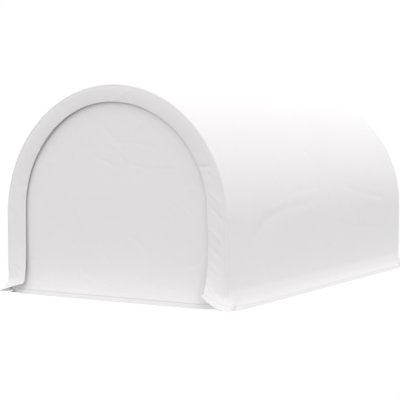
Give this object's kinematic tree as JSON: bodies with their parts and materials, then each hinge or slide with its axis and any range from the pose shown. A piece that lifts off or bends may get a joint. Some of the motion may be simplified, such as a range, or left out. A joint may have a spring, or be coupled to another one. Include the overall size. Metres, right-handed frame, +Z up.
{
  "type": "enclosed round-top fabric carport shelter",
  "caption": "Enclosed fabric carport shelter with a half-round roof on straight sides, closed end panels set behind a flat arch band, and a low spread skirt on a steel tube frame.",
  "frame": {"origin": "on the ground, under the middle of the shelter", "axes": "+Z up, +Y along the shelter from its front end to its rear end, +X to the right seen from the front"},
  "size_m": [3.22, 5.33, 2.48],
  "materials": {
    "cover_cloth": "matt white coated tarpaulin",
    "frame_tube": "galvanised tube",
    "foot_steel": "galvanised plate and tube"
  },
  "bodies": {
    "root": {"bow_1": "frame_tube", "bow_2": "frame_tube", "bow_3": "frame_tube", "bow_4": "frame_tube", "cover": "cover_cloth", "front_band": "cover_cloth", "front_panel": "cover_cloth", "leg_left_1": "foot_steel", "leg_left_2": "foot_steel", "leg_left_3": "foot_steel", "leg_left_4": "foot_steel", "leg_right_1": "foot_steel", "leg_right_2": "foot_steel", "leg_right_3": "foot_steel", "leg_right_4": "foot_steel", "rear_band": "cover_cloth", "rear_panel": "cover_cloth", "ridge_purlin_1": "frame_tube", "ridge_purlin_2": "frame_tube", "ridge_purlin_3": "frame_tube", "shoulder_purlin_left_1": "frame_tube", "shoulder_purlin_left_2": "frame_tube", "shoulder_purlin_left_3": "frame_tube", "shoulder_purlin_right_1": "frame_tube", "shoulder_purlin_right_2": "frame_tube", "shoulder_purlin_right_3": "frame_tube", "side_rail_left_1": "frame_tube", "side_rail_left_2": "frame_tube", "side_rail_left_3": "frame_tube", "side_rail_right_1": "frame_tube", "side_rail_right_2": "frame_tube", "side_rail_right_3": "frame_tube", "sleeve_left_1": "frame_tube", "sleeve_left_2": "frame_tube", "sleeve_left_3": "frame_tube", "sleeve_left_4": "frame_tube", "sleeve_right_1": "frame_tube", "sleeve_right_2": "frame_tube", "sleeve_right_3": "frame_tube", "sleeve_right_4": "frame_tube"}
  },
  "joints": []
}
